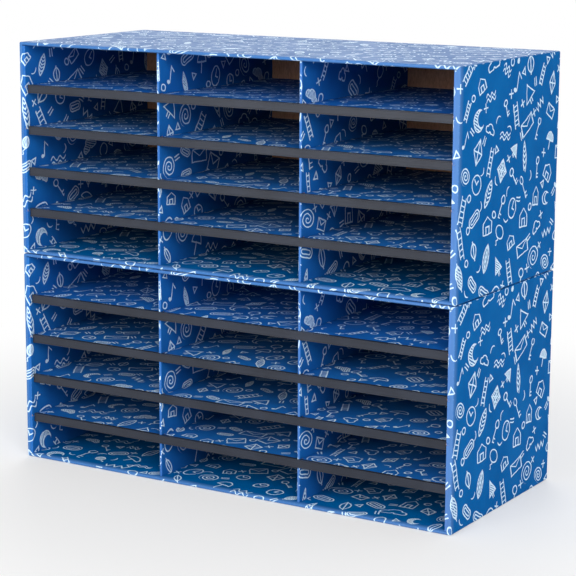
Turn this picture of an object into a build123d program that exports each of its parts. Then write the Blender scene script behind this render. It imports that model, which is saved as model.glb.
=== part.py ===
"""Mail sorter: two stacked corrugated-board units, each with three columns of five letter-size slots.

Millimetres, +Z up. X runs across the front (right is +X), the open front faces -Y, and the origin is
the middle of the underside of the lower unit.
"""
from build123d import *
import os

# Overall size of one unit, and how the two are counted out
unit_width = 743.0
unit_depth = 320.0
unit_height = 324.0
unit_names = ["lower", "upper"]
column_count = 3
shelf_count = 4

# Board gauges
case_board = 3.0  # the case is this board rolled in on itself at the front, so its walls are double
back_board = 3.0
partition_ply = 2.2  # dividers and side supports are this board folded double at their front edge
shelf_board = 3.0

# Folds, as the outside radius that the board takes
case_fold = 2.5
case_front_fold = 2.0
partition_fold = 1.6

# How far pieces sit behind the front edge of the case
edge_strip_recess = 5.0
support_recess = 0.3

# Edge strip of a shelf: a moulded channel with a tall face and a rail along each edge of that face
strip_face_height = 12.5
strip_face_wall = 1.2
strip_grip_wall = 1.0
strip_top_grip = 5.0
strip_under_grip = 9.0
strip_rail_height = 1.6
strip_rail_proud = 0.5
strip_edge_round = 0.35

# Fits
back_fit = 0.2
partition_fit = 0.2
slot_play = 0.3
lap_play = 0.3
shelf_end_play = 0.3
shelf_back_play = 0.4
strip_end_play = 1.0
strip_back_play = 0.3

# Worked out from the sizes above
case_wall = 2 * case_board
partition_wall = 2 * partition_ply
front_y = -unit_depth / 2
back_y = unit_depth / 2
inner_back_y = back_y - back_board
inner_width = unit_width - 2 * case_wall
inner_height = unit_height - 2 * case_wall
between_supports = inner_width - 2 * partition_wall
divider_count = column_count - 1
column_width = (between_supports - divider_count * partition_wall) / column_count
row_height = (inner_height - shelf_count * shelf_board) / (shelf_count + 1)

strip_face_y = front_y + edge_strip_recess
shelf_front_y = strip_face_y + strip_face_wall
shelf_back_y = inner_back_y - shelf_back_play
divider_front_y = shelf_front_y + strip_back_play
support_front_y = front_y + support_recess
partition_back_y = inner_back_y - partition_fit
lap_y = (shelf_front_y + shelf_back_y) / 2


def shelf_top(base, row):
    """Height of the top of the shelf that closes the given row, counted from one at the floor."""
    return base + case_wall + row * (row_height + shelf_board)


def divider_x(index):
    """Middle of a divider's thickness, counted from zero at the left."""
    left_face = -between_supports / 2
    return left_face + (index + 1) * column_width + (index + 0.5) * partition_wall


def rectangle_between(x_low, x_high, y_low, y_high, mode=Mode.ADD):
    """A rectangle of the current sketch, by its lowest and highest corners."""
    with Locations(((x_low + x_high) / 2, (y_low + y_high) / 2)):
        Rectangle(x_high - x_low, y_high - y_low, mode=mode)


def make_case(base):
    """One folded tube of board: its front edges are rolled in, and its back edge is single board."""
    middle = base + unit_height / 2
    with BuildPart() as case:
        with BuildSketch(Plane.XZ.offset(-back_y)):
            with Locations((0, middle)):
                RectangleRounded(unit_width, unit_height, case_fold)
                Rectangle(inner_width, inner_height, mode=Mode.SUBTRACT)
        extrude(amount=unit_depth)
        with BuildSketch(Plane.XZ.offset(-back_y)):
            with Locations((0, middle)):
                Rectangle(unit_width - 2 * case_board, unit_height - 2 * case_board)
        extrude(amount=back_board, mode=Mode.SUBTRACT)
        front_edges = case.faces().filter_by(Axis.Y).sort_by(Axis.Y)[0].edges()
        fillet(front_edges, case_front_fold)
    return case.part


def make_back_panel(base):
    """The single board that closes the back, let in between the edges of the case."""
    with BuildPart() as back_panel:
        with BuildSketch(Plane.XZ.offset(-back_y)):
            with Locations((0, base + unit_height / 2)):
                Rectangle(unit_width - 2 * (case_board + back_fit), unit_height - 2 * (case_board + back_fit))
        extrude(amount=back_board)
    return back_panel.part


def make_partition(base, middle_x, panel_front_y, strip_crosses):
    """An upright panel of doubled board, folded at its front, with a slot for each shelf.

    A slot runs from the front to half the shelf's depth. Where the edge strip crosses the panel, the
    mouth of the slot is opened up for the strip's grip.
    """
    mouth_end_y = shelf_front_y + strip_under_grip + slot_play
    with BuildPart() as panel:
        with BuildSketch(Plane.YZ.offset(middle_x - partition_wall / 2)):
            floor = base + case_wall
            ceiling = base + unit_height - case_wall - partition_fit
            rectangle_between(panel_front_y, partition_back_y, floor, ceiling)
            for row in range(1, shelf_count + 1):
                top = shelf_top(base, row)
                bottom = top - shelf_board
                rectangle_between(
                    panel_front_y, lap_y + lap_play, bottom - slot_play, top + slot_play, Mode.SUBTRACT
                )
                if strip_crosses:
                    rectangle_between(
                        panel_front_y,
                        mouth_end_y,
                        bottom - strip_grip_wall - slot_play,
                        top + strip_grip_wall + slot_play,
                        Mode.SUBTRACT,
                    )
        extrude(amount=partition_wall)
        fillet(panel.edges().filter_by(Axis.Z).group_by(Axis.Y)[0], partition_fold)
    return panel.part


def make_shelf(base, row):
    """A shelf the full width of the unit, lapped onto the partitions by slots open to the back.

    A lug at each front corner runs on to the front of the side support and fills its slot there.
    """
    wide = inner_width - 2 * shelf_end_play
    narrow = between_supports - 2 * shelf_end_play
    slot_width = partition_wall + 2 * slot_play
    with BuildPart() as shelf:
        with BuildSketch(Plane.XY.offset(shelf_top(base, row) - shelf_board)):
            rectangle_between(-wide / 2, wide / 2, support_front_y, lap_y)
            rectangle_between(
                -between_supports / 2, between_supports / 2, support_front_y, shelf_front_y, Mode.SUBTRACT
            )
            rectangle_between(-narrow / 2, narrow / 2, lap_y, shelf_back_y)
            for index in range(divider_count):
                x = divider_x(index)
                rectangle_between(
                    x - slot_width / 2, x + slot_width / 2, lap_y, shelf_back_y, Mode.SUBTRACT
                )
        extrude(amount=shelf_board)
        lug_corners = shelf.edges().filter_by(Axis.Z).group_by(Axis.Y)[0].sort_by(Axis.X)[1:3]
        fillet(lug_corners, partition_fold)
    return shelf.part


def make_shelf_edge(base, row):
    """The plastic strip on a shelf's front edge: a face that hangs down, gripping the board behind it."""
    length = between_supports - 2 * strip_end_play
    shelf_upper = shelf_top(base, row)
    shelf_lower = shelf_upper - shelf_board
    strip_top = shelf_upper + strip_grip_wall
    strip_bottom = strip_top - strip_face_height
    rail_y = strip_face_y - strip_rail_proud
    with BuildPart() as edge:
        with BuildSketch(Plane.YZ.offset(-length / 2)):
            rectangle_between(strip_face_y, shelf_front_y, strip_bottom, strip_top)
            rectangle_between(strip_face_y, shelf_front_y + strip_top_grip, shelf_upper, strip_top)
            rectangle_between(
                strip_face_y, shelf_front_y + strip_under_grip, shelf_lower - strip_grip_wall, shelf_lower
            )
            rectangle_between(rail_y, strip_face_y, strip_top - strip_rail_height, strip_top)
            rectangle_between(rail_y, strip_face_y, strip_bottom, strip_bottom + strip_rail_height)
        extrude(amount=length)
        rail_edges = edge.edges().filter_by(Axis.X).group_by(Axis.Y)[0]
        fillet(rail_edges, strip_edge_round)
    return edge.part


def save(part, name):
    """Label a finished piece and write it under its own name."""
    part.label = name
    export_step(part, f"parts/{name}.step")


def main():
    os.makedirs("parts", exist_ok=True)
    support_x = (inner_width - partition_wall) / 2
    for level, unit in enumerate(unit_names):
        base = level * unit_height
        save(make_case(base), f"{unit}_case")
        save(make_back_panel(base), f"{unit}_back_panel")
        save(make_partition(base, -support_x, support_front_y, False), f"{unit}_left_side_support")
        save(make_partition(base, support_x, support_front_y, False), f"{unit}_right_side_support")
        for index, side in enumerate(["left", "right"]):
            save(make_partition(base, divider_x(index), divider_front_y, True), f"{unit}_{side}_divider")
        for row in range(1, shelf_count + 1):
            save(make_shelf(base, row), f"{unit}_shelf_{row}")
            save(make_shelf_edge(base, row), f"{unit}_shelf_edge_{row}")


main()
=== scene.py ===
"""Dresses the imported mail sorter: printed corrugated board, plain kraft, cut flutes, grey edge strips."""

import math

import bmesh
import bpy
from mathutils import Matrix, Vector


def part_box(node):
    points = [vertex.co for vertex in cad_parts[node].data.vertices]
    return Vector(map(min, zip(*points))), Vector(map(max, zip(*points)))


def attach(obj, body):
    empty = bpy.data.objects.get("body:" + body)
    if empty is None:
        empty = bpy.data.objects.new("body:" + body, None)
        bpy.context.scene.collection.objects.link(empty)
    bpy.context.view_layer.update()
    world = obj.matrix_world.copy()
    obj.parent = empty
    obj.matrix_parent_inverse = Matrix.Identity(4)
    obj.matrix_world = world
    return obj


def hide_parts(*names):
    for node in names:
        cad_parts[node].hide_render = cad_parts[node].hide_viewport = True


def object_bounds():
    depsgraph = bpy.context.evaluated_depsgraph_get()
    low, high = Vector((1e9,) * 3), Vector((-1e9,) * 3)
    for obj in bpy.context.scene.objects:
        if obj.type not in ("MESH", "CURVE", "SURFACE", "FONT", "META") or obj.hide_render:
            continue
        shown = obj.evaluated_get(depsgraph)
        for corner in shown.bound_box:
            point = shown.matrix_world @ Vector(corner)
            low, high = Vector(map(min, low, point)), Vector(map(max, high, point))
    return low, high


bl_info = {
    "name": "Mail Sorter Dressing",
    "version": (1, 0, 0),
    "blender": (4, 5, 0),
    "location": "View3D > Sidebar > Mail Sorter",
    "description": "Printed board, kraft and plastic pieces around the packed frame of a mail sorter",
    "category": "Object",
}

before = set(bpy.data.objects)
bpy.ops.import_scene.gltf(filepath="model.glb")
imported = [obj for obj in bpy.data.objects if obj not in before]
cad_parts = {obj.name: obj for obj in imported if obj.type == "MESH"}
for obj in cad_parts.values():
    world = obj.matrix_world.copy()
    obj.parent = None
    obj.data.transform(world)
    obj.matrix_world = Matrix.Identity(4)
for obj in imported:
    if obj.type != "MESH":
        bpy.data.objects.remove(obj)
cad_low, cad_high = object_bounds()

MM = 0.001
UNITS = ("lower", "upper")
PARTITIONS = ("left_side_support", "left_divider", "right_divider", "right_side_support")
ROWS = 4
FINISHES = {}

# The order of a board piece's materials
PRINTED, RAW, KRAFT = 0, 1, 2

# The front plane and the height of one unit come from the frame
FRONT_Y = cad_low.y
UNIT_HEIGHT = (cad_high.z - cad_low.z) / len(UNITS)

# The axes of a place or a normal
X, Y, Z = 0, 1, 2
# Points nearer than MERGE are one point, and places nearer than SAME are one place
MERGE = 0.001 * MM
SAME = 0.01 * MM
# A face points along an axis when its normal has more than this of it
FACING = 0.9
# Faces that meet at more than SQUARE make a square corner, and at more than CRISP an edge that isn't smooth
SQUARE = math.radians(60)
CRISP = math.radians(40)

# The wavy medium between the liners: its thickness, its facets in each wave, and its share of the open depth
MEDIUM = 0.3 * MM
WAVE_FACETS = 6
MEDIUM_REACH = 0.96

# Each lamp's place and width, in metres
LAMPS = {
    "key": ((2.6, -2.9, 2.2), 2.0),
    "fill": ((-0.4, -3.9, 1.7), 1.8),
    "gloss": ((-1.7, -3.7, 0.56), 1.0),
    "back": ((-2.0, 3.4, 2.2), 2.4),
}


def length(name, description, millimetres):
    """The property of a length, from its default in millimetres."""
    return bpy.props.FloatProperty(
        name=name, description=description, default=millimetres * MM, unit="LENGTH"
    )


def shade(name, description, default):
    """The property of a colour, from its default in sRGB hex."""
    return bpy.props.StringProperty(name=name, description=f"{description}, sRGB hex", default=default)


class BoardSettings(bpy.types.PropertyGroup):
    """Gauges, folds and colours of the corrugated board."""

    case_board: length("Case board", "Thickness of the case's single board", 3)
    liner: length("Liner", "Thickness of a facing liner at a cut edge", 0.4)
    flute_pitch: length("Flute pitch", "Distance from flute to flute", 6.5)
    flute_depth: length("Flute depth shown", "How far a cut edge is open", 4)
    case_fold: length("Case fold", "Outside radius of the case's corners and front", 2.6)
    inner_roll: length("Inner roll", "Height of the rounding where the front rolls in", 2.6)
    roll_reach: length("Roll reach", "Depth of that rounding", 6.5)
    crown: length("Crown", "How far the top and floor fall off to their edges", 0.7)
    crown_reach: length("Crown reach", "Width of the band that falls off", 22)
    play: length("Play", "Room between a shelf and its slots", 0.3)
    partition_fold: length("Partition fold", "Outside radius of a folded front edge", 1.6)
    panel_edge: length("Panel edge", "Rounding of the back panel's cut edges", 0.3)
    fold_steps: bpy.props.IntProperty(name="Fold steps", description="Facets across a fold", default=6, min=2)
    blue: shade("Blue", "Printed ground", "0064AA")
    blue_deep: shade("Deep blue", "Darker mottling", "005A9E")
    # Painted bounce light: the inside blues are lighter and redder than the case's, for the light that
    # reaches the shaded interior
    insert_bounce_blue: shade("Insert blue", "Ground inside", "1A68B6")
    insert_bounce_deep: shade("Insert deep", "Mottling inside", "1A5EAA")
    # The fold colour is partly cracked ink and partly painted sheen
    fold_and_sheen_blue: shade("Fold", "Ground where folded", "7C9ACC")
    # The scuffed colour is partly scuffed ink and partly painted highlight
    scuff_and_highlight_blue: shade("Rubbed", "Scuffed fold", "86A6D4")
    ink: shade("Chalk white", "Drawn lines", "CFE8FA")
    kraft: shade("Kraft", "Plain liner", "D29C7E")
    kraft_dark: shade("Kraft fibre", "Darker fibres", "AA7A5E")
    kraft_pale: shade("Pale kraft", "Dusty cut edge", "D8B094")


class PrintSettings(bpy.types.PropertyGroup):
    """Scale of the drawn motifs."""

    cell: length("Motif spacing", "Distance from motif to motif", 42)
    stroke: length("Stroke", "Width of a drawn line", 2)
    wobble: length("Wobble", "How far the hand wavers", 6)


class StripSettings(bpy.types.PropertyGroup):
    """The plastic strip on a shelf's front edge."""

    face_wall: length("Face wall", "Thickness of the face", 1.2)
    grip_wall: length("Grip wall", "Thickness of the two grips", 1)
    top_grip: length("Top grip", "Reach over the shelf", 5)
    rail_height: length("Rail height", "Height of each rail", 1.6)
    rail_proud: length("Rail", "How far a rail stands out", 0.5)
    edge: length("Edge", "Rounding of the moulded edges", 0.3)
    charcoal: shade("Charcoal", "Plastic", "1E222C")
    charcoal_pale: shade("Pale charcoal", "Drag lines", "292E3A")


class StageSettings(bpy.types.PropertyGroup):
    """The camera, the whites of the stage, and what each light adds to a white card that faces it."""

    yaw: bpy.props.FloatProperty(
        name="Camera yaw", description="Turn to the left of straight ahead", default=math.radians(31.464),
        unit="ROTATION",
    )
    pitch: bpy.props.FloatProperty(
        name="Camera pitch", description="Tilt below level", default=math.radians(11.337), unit="ROTATION"
    )
    roll: bpy.props.FloatProperty(
        name="Camera roll", description="Roll about the line of sight", default=math.radians(0.296),
        unit="ROTATION",
    )
    place: bpy.props.FloatVectorProperty(
        name="Camera place", description="In the sorter's frame", default=(1.5575, -2.5316, 0.8786),
        unit="LENGTH",
    )
    lens: bpy.props.FloatProperty(
        name="Lens", description="Focal length on a 36 mm frame", default=125.09, unit="CAMERA"
    )
    ambient: bpy.props.FloatProperty(name="Ambient", description="Light from all round", default=0.5)
    key: bpy.props.FloatProperty(name="Key", description="Light of the key lamp", default=0.54)
    fill: bpy.props.FloatProperty(name="Fill", description="Light of the fill lamp", default=0.34)
    gloss: bpy.props.FloatProperty(name="Gloss", description="Light of the low lamp", default=0.1)
    back: bpy.props.FloatProperty(name="Back", description="Light of the back lamp", default=0.32)
    sweep: shade("Sweep", "Paper of the floor", "F2F2F2")
    surround: shade("Surround", "What is behind everything", "FFFFFF")


def linear(hex_colour):
    """An sRGB hex colour as linear red, green, blue and full alpha."""
    def channel(value):
        return value / 12.92 if value <= 0.04045 else ((value + 0.055) / 1.055) ** 2.4

    return tuple(channel(int(hex_colour[i : i + 2], 16) / 255) for i in (0, 2, 4)) + (1.0,)


def add_node(tree, kind, *inputs, **settings):
    """Add a node, set its properties, and feed its usable inputs in order, or by name from a dict.

    An input is a number, a vector, a socket, or a node, which stands for its first usable output.
    """
    node = tree.nodes.new(kind)
    for name, value in settings.items():
        setattr(node, name, value)
    named = inputs[0] if inputs and isinstance(inputs[0], dict) else None
    usable = [socket for socket in node.inputs if socket.enabled]
    pairs = [(node.inputs[key], value) for key, value in named.items()] if named else zip(usable, inputs)
    for socket, value in pairs:
        if isinstance(value, bpy.types.Node):
            value = next(output for output in value.outputs if output.enabled)
        if isinstance(value, bpy.types.NodeSocket):
            tree.links.new(value, socket)
        else:
            socket.default_value = value
    return node


def add_sums(tree, values, rows):
    """Add the rows of a table of sums: each row names its result, its operation and what goes in."""
    for result, operation, *inputs in rows:
        terms = [values.get(term, term) for term in inputs]
        values[result] = add_node(tree, "ShaderNodeMath", *terms, operation=operation)


def span(result, source, middle, half):
    """The sums for how far a place lies outside a span, from the span's middle and half its length."""
    return (
        (result, "SUBTRACT", source, middle),
        (result, "ABSOLUTE", result),
        (result, "SUBTRACT", result, half),
    )


def radius(result, across, up):
    """The sums for how far a place lies from a point, from how far across and up it lies."""
    return (
        (result, "MULTIPLY", across, across),
        (result, "MULTIPLY_ADD", up, up, result),
        (result, "SQRT", result),
    )


# What every motif and filler starts from: its place (x, y) in millimetres from its own middle
MOTIF_BASE = (
    ("ax", "ABSOLUTE", "x"),
    ("ay", "ABSOLUTE", "y"),
    *radius("r", "x", "y"),
    ("inner", "MINIMUM", "ax", "ay"),
)

# Each motif: its sums, with the distance in millimetres from its lines as "line". The closed motifs come
# first, and have the distance from their outline, less than 0 inside it, as "body".
MOTIFS = {
    "crescent": (
        ("bite", "SUBTRACT", "x", 5.5),
        *radius("bite", "bite", "y"),
        ("bite", "SUBTRACT", 8.8, "bite"),
        ("disc", "SUBTRACT", "r", 10.5),
        ("body", "MAXIMUM", "disc", "bite"),
        ("line", "ABSOLUTE", "body"),
    ),
    "leaf": (
        ("leaf", "ADD", "ax", 8),
        *radius("leaf", "leaf", "y"),
        ("body", "SUBTRACT", "leaf", 14.5),
        ("line", "ABSOLUTE", "body"),
        ("rib", "SUBTRACT", "ay", 14),
        ("rib", "MAXIMUM", "ax", "rib"),
        ("line", "MINIMUM", "line", "rib"),
    ),
    "cloud": (
        ("puff_x", "SUBTRACT", "ax", 6),
        ("puff_y", "ADD", "y", 1.5),
        *radius("puff", "puff_x", "puff_y"),
        ("puff", "SUBTRACT", "puff", 5.5),
        ("crown_y", "SUBTRACT", "y", 3),
        *radius("crown", "x", "crown_y"),
        ("crown", "SUBTRACT", "crown", 6.2),
        ("body", "MINIMUM", "puff", "crown"),
        ("base", "SUBTRACT", -5.5, "y"),
        ("body", "MAXIMUM", "body", "base"),
        ("line", "ABSOLUTE", "body"),
    ),
    "kite": (
        ("slope", "MULTIPLY_ADD", "ax", 1.45, "ay"),
        ("slope", "SUBTRACT", "slope", 12.5),
        ("body", "MULTIPLY", "slope", 0.57),
        ("spar", "MAXIMUM", "inner", "body"),
        ("line", "ABSOLUTE", "body"),
        ("line", "MINIMUM", "line", "spar"),
    ),
    "tree": (
        ("bough", "MULTIPLY_ADD", "ax", 1.7, "y"),
        ("bough", "SUBTRACT", "bough", 11.5),
        ("bough", "MULTIPLY", "bough", 0.51),
        ("hem", "SUBTRACT", -6, "y"),
        ("body", "MAXIMUM", "bough", "hem"),
        ("trunk", "SUBTRACT", "ax", 1.8),
        ("trunk", "ABSOLUTE", "trunk"),
        *span("foot", "y", -9, 3),
        ("trunk", "MAXIMUM", "trunk", "foot"),
        ("line", "ABSOLUTE", "body"),
        ("line", "MINIMUM", "line", "trunk"),
    ),
    "balloon": (
        ("lift", "SUBTRACT", "y", 4),
        *radius("ball", "x", "lift"),
        ("body", "SUBTRACT", "ball", 7),
        ("cord", "SINE", "y"),
        ("cord", "SUBTRACT", "x", "cord"),
        ("cord", "ABSOLUTE", "cord"),
        *span("drop", "y", -7.5, 4.5),
        ("cord", "MAXIMUM", "cord", "drop"),
        ("line", "ABSOLUTE", "body"),
        ("line", "MINIMUM", "line", "cord"),
    ),
    "feather": (
        ("vane", "ADD", "ax", 27),
        *radius("vane", "vane", "y"),
        ("body", "SUBTRACT", "vane", 31.5),
        ("barb", "SUBTRACT", "y", "ax"),
        ("barb", "PINGPONG", "barb", 2.6),
        ("barb", "MULTIPLY", "barb", 0.7),
        ("barb", "MAXIMUM", "barb", "body"),
        ("line", "ABSOLUTE", "body"),
        ("line", "MINIMUM", "line", "barb"),
    ),
    "umbrella": (
        ("dome", "SUBTRACT", "r", 12),
        ("hem", "SUBTRACT", 1, "y"),
        ("body", "MAXIMUM", "dome", "hem"),
        *span("stick", "y", -5, 6.5),
        ("stick", "MAXIMUM", "stick", "ax"),
        ("line", "ABSOLUTE", "body"),
        ("line", "MINIMUM", "line", "stick"),
    ),
    "spiral": (
        ("turn", "ARCTAN2", "y", "x"),
        ("turn", "DIVIDE", "turn", math.tau),
        ("coil", "DIVIDE", "r", 4.8),
        ("coil", "SUBTRACT", "coil", "turn"),
        ("coil", "PINGPONG", "coil", 0.5),
        ("coil", "MULTIPLY", "coil", 4.8),
        ("rim", "SUBTRACT", "r", 11.5),
        ("line", "MAXIMUM", "coil", "rim"),
    ),
    "zigzag": (
        ("tooth", "PINGPONG", "x", 4.5),
        ("tooth", "MULTIPLY_ADD", "tooth", -2, "y"),
        ("tooth", "ADD", "tooth", 4.5),
        ("tooth", "ABSOLUTE", "tooth"),
        ("tooth", "MULTIPLY", "tooth", 0.45),
        ("end", "SUBTRACT", "ax", 12),
        ("line", "MAXIMUM", "tooth", "end"),
    ),
    "double wave": (
        ("wave", "MULTIPLY", "x", 0.55),
        ("wave", "SINE", "wave"),
        ("wave", "MULTIPLY_ADD", "wave", -2.4, "y"),
        ("wave", "ABSOLUTE", "wave"),
        ("wave", "SUBTRACT", "wave", 3.2),
        ("wave", "ABSOLUTE", "wave"),
        ("wave", "MULTIPLY", "wave", 0.75),
        ("end", "SUBTRACT", "ax", 12),
        ("line", "MAXIMUM", "wave", "end"),
    ),
    "envelope": (
        ("across", "SUBTRACT", "ax", 11),
        ("up", "SUBTRACT", "ay", 7.5),
        ("sheet", "MAXIMUM", "across", "up"),
        ("flap", "MULTIPLY_ADD", "ax", -0.73, "y"),
        ("flap", "ADD", "flap", 0.5),
        ("flap", "ABSOLUTE", "flap"),
        ("flap", "MAXIMUM", "flap", "sheet"),
        ("line", "ABSOLUTE", "sheet"),
        ("line", "MINIMUM", "line", "flap"),
    ),
    "note": (
        ("head_x", "ADD", "x", 3.5),
        ("head_y", "ADD", "y", 8),
        ("head_y", "MULTIPLY", "head_y", 1.35),
        *radius("head", "head_x", "head_y"),
        ("head", "SUBTRACT", "head", 2.6),
        *span("stem", "y", 1.5, 9.5),
        ("stem", "MAXIMUM", "ax", "stem"),
        *span("hook_x", "x", 3.5, 3.5),
        ("hook", "MULTIPLY_ADD", "x", 0.7, "y"),
        ("hook", "SUBTRACT", "hook", 11),
        ("hook", "ABSOLUTE", "hook"),
        ("hook", "MAXIMUM", "hook", "hook_x"),
        ("line", "MINIMUM", "head", "stem"),
        ("line", "MINIMUM", "line", "hook"),
    ),
    "ladder": (
        ("rail", "SUBTRACT", "ax", 3.8),
        ("rung", "PINGPONG", "y", 3),
        ("rung", "MAXIMUM", "rung", "rail"),
        ("line", "ABSOLUTE", "rail"),
        ("line", "MINIMUM", "line", "rung"),
        ("rail_end", "SUBTRACT", "ay", 15.5),
        ("line", "MAXIMUM", "line", "rail_end"),
    ),
    "house": (
        ("wall", "SUBTRACT", "ax", 8),
        ("sill", "SUBTRACT", -9, "y"),
        ("roof", "MULTIPLY_ADD", "ax", 0.85, "y"),
        ("roof", "SUBTRACT", "roof", 10.5),
        ("wall", "MAXIMUM", "wall", "sill"),
        ("wall", "MAXIMUM", "wall", "roof"),
        ("door", "SUBTRACT", "ax", 3),
        ("lintel", "ADD", "y", 0.5),
        ("door", "MAXIMUM", "door", "lintel"),
        ("door", "ABSOLUTE", "door"),
        ("door", "MAXIMUM", "door", "wall"),
        ("line", "ABSOLUTE", "wall"),
        ("line", "MINIMUM", "line", "door"),
    ),
    "key": (
        ("bow_y", "SUBTRACT", "y", 9.5),
        *radius("bow", "x", "bow_y"),
        ("bow", "SUBTRACT", "bow", 4.8),
        ("line", "ABSOLUTE", "bow"),
        *span("shaft", "y", -4.8, 9.5),
        ("shaft", "MAXIMUM", "shaft", "ax"),
        ("line", "MINIMUM", "line", "shaft"),
        *span("bit", "y", -10.8, 2.6),
        ("bit", "ABSOLUTE", "bit"),
        *span("bit_end", "x", 2.4, 2.4),
        ("bit", "MAXIMUM", "bit", "bit_end"),
        ("line", "MINIMUM", "line", "bit"),
    ),
    "clip": (
        ("bend", "SUBTRACT", "ax", 6.5),
        ("bend", "MAXIMUM", "bend", 0),
        *radius("bend", "bend", "y"),
        *span("bend", "bend", 3.9, 1.7),
        ("line", "ABSOLUTE", "bend"),
    ),
    "clock": (
        *span("hour", "x", 2.5, 2.5),
        ("hour", "MAXIMUM", "hour", "ay"),
        *span("minute", "y", 3.5, 3.5),
        ("minute", "MAXIMUM", "minute", "ax"),
        ("line", "SUBTRACT", "r", 10),
        ("line", "ABSOLUTE", "line"),
        ("line", "MINIMUM", "line", "hour"),
        ("line", "MINIMUM", "line", "minute"),
    ),
}
CLOSED_MOTIFS = sum("body" in [row[0] for row in rows] for rows in MOTIFS.values())

# The small fillers between the motifs, in the same way
FILLERS = {
    "ring": (
        ("line", "SUBTRACT", "r", 3),
        ("line", "ABSOLUTE", "line"),
    ),
    "plus": (
        ("arms", "MAXIMUM", "ax", "ay"),
        ("arms", "SUBTRACT", "arms", 3.4),
        ("line", "MAXIMUM", "arms", "inner"),
    ),
    "pair of strokes": (
        ("pair", "SUBTRACT", "ax", 1.6),
        ("pair", "ABSOLUTE", "pair"),
        ("pair_end", "SUBTRACT", "ay", 3.4),
        ("line", "MAXIMUM", "pair", "pair_end"),
    ),
    "bent stroke": (
        ("bend", "MULTIPLY", "x", "x"),
        ("bend", "MULTIPLY", "bend", 0.12),
        ("bend", "SUBTRACT", "y", "bend"),
        ("bend", "ABSOLUTE", "bend"),
        ("bend_end", "SUBTRACT", "ax", 4),
        ("line", "MAXIMUM", "bend", "bend_end"),
    ),
    "triangle": (
        ("slant", "MULTIPLY_ADD", "ax", 1.7, "y"),
        ("slant", "SUBTRACT", "slant", 3.8),
        ("slant", "MULTIPLY", "slant", 0.51),
        ("foot", "SUBTRACT", -2, "y"),
        ("slant", "MAXIMUM", "slant", "foot"),
        ("line", "ABSOLUTE", "slant"),
    ),
}

# The drawing stands on a lattice of cells, turned so that its rows don't line up with the edges. Each row is
# set along from the one below by a share of a cell, and the fillers have a lattice of their own between.
LATTICE_TURN = 0.4
ROW_SHIFT = 0.37
FILLER_SHIFT = (0.315, 0.5)

# Each cell's random numbers come from white noise, in separate draws. A number taken this many times, less
# its whole part, serves as one more.
SHAPE_DRAW, PLACE_DRAW, FILLER_DRAW = 3.5, 8.5, 5.5
FURTHER_DIGITS = 17

# The least and the most of a motif's tilt in radians, its width against its height, and its size
TILT = (-1.2, 0.4)
SLIMNESS = (0.84, 1.2)
SIZE = (0.95, 1.5)
# The room that a motif of size 1 keeps all round its middle, and a distance at which nothing is drawn, in
# millimetres
MOTIF_REACH = 13.5
FAR_OFF = 9

# The share of the closed motifs that stay plain. The others are hatched with slanting lines: half the step
# from line to line along an axis, and how far short of the outline they stop, in millimetres.
PLAIN_SHARE = 0.62
HATCH_HALF_STEP = 1.9
HATCH_MARGIN = 0.6
# What a step along an axis comes to when it is measured square to a slanting line
DIAGONAL = 0.7

# The fillers' size, their turn in radians, and how many cells stay empty for each one that has a given filler
FILLER_SIZE = 1.6
FILLER_TURN = 40
EMPTY_SHARE = 1.5

# A face belongs to the side or to the top of its piece when its normal has more than this of it
LEANING = 0.35
# The seam between the units is taken this far up, in millimetres, so that the lower top is still the lower's
SEAM = 0.01
# The hand wavers over about this many millimetres, and over halves and quarters of it
WAVER_SIZE = 28


def between(result, source, limits):
    """The sum that spreads a random number from 0 to 1 over the given limits."""
    return result, "MULTIPLY_ADD", source, limits[1] - limits[0], limits[0]


def add_cells(tree, flat, cell, shift):
    """Cut the board into cells: each one's column and row, and the place in it, in cells from its middle."""
    u, v, _ = add_node(tree, "ShaderNodeSeparateXYZ", flat).outputs
    values = {"u": u, "v": v}
    add_sums(tree, values, (
        ("v", "DIVIDE", "v", cell),
        ("v", "ADD", "v", shift[1]),
        ("row", "FLOOR", "v"),
        ("u", "DIVIDE", "u", cell),
        ("u", "MULTIPLY_ADD", "row", ROW_SHIFT, "u"),
        ("u", "ADD", "u", shift[0]),
        ("column", "FLOOR", "u"),
        ("u", "FRACT", "u"),
        ("v", "FRACT", "v"),
        ("u", "SUBTRACT", "u", 0.5),
        ("v", "SUBTRACT", "v", 0.5),
    ))
    place = add_node(tree, "ShaderNodeCombineXYZ", values["u"], values["v"])
    return values["column"], values["row"], place


def add_picked(tree, values, shapes, start):
    """Add the sums of all the shapes, and keep the line and the body of the one that each cell has picked."""
    line, body = start, 0.0
    for index, rows in enumerate(shapes.values()):
        values.pop("body", None)
        add_sums(tree, values, rows)
        chosen = add_node(tree, "ShaderNodeMath", values["pick"], index, 0.5, operation="COMPARE")
        line = add_node(tree, "ShaderNodeMath", chosen, values["line"], line, operation="MULTIPLY_ADD")
        if "body" in values:
            body = add_node(tree, "ShaderNodeMath", chosen, values["body"], body, operation="MULTIPLY_ADD")
    values.update(line=line, body=body)


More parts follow.
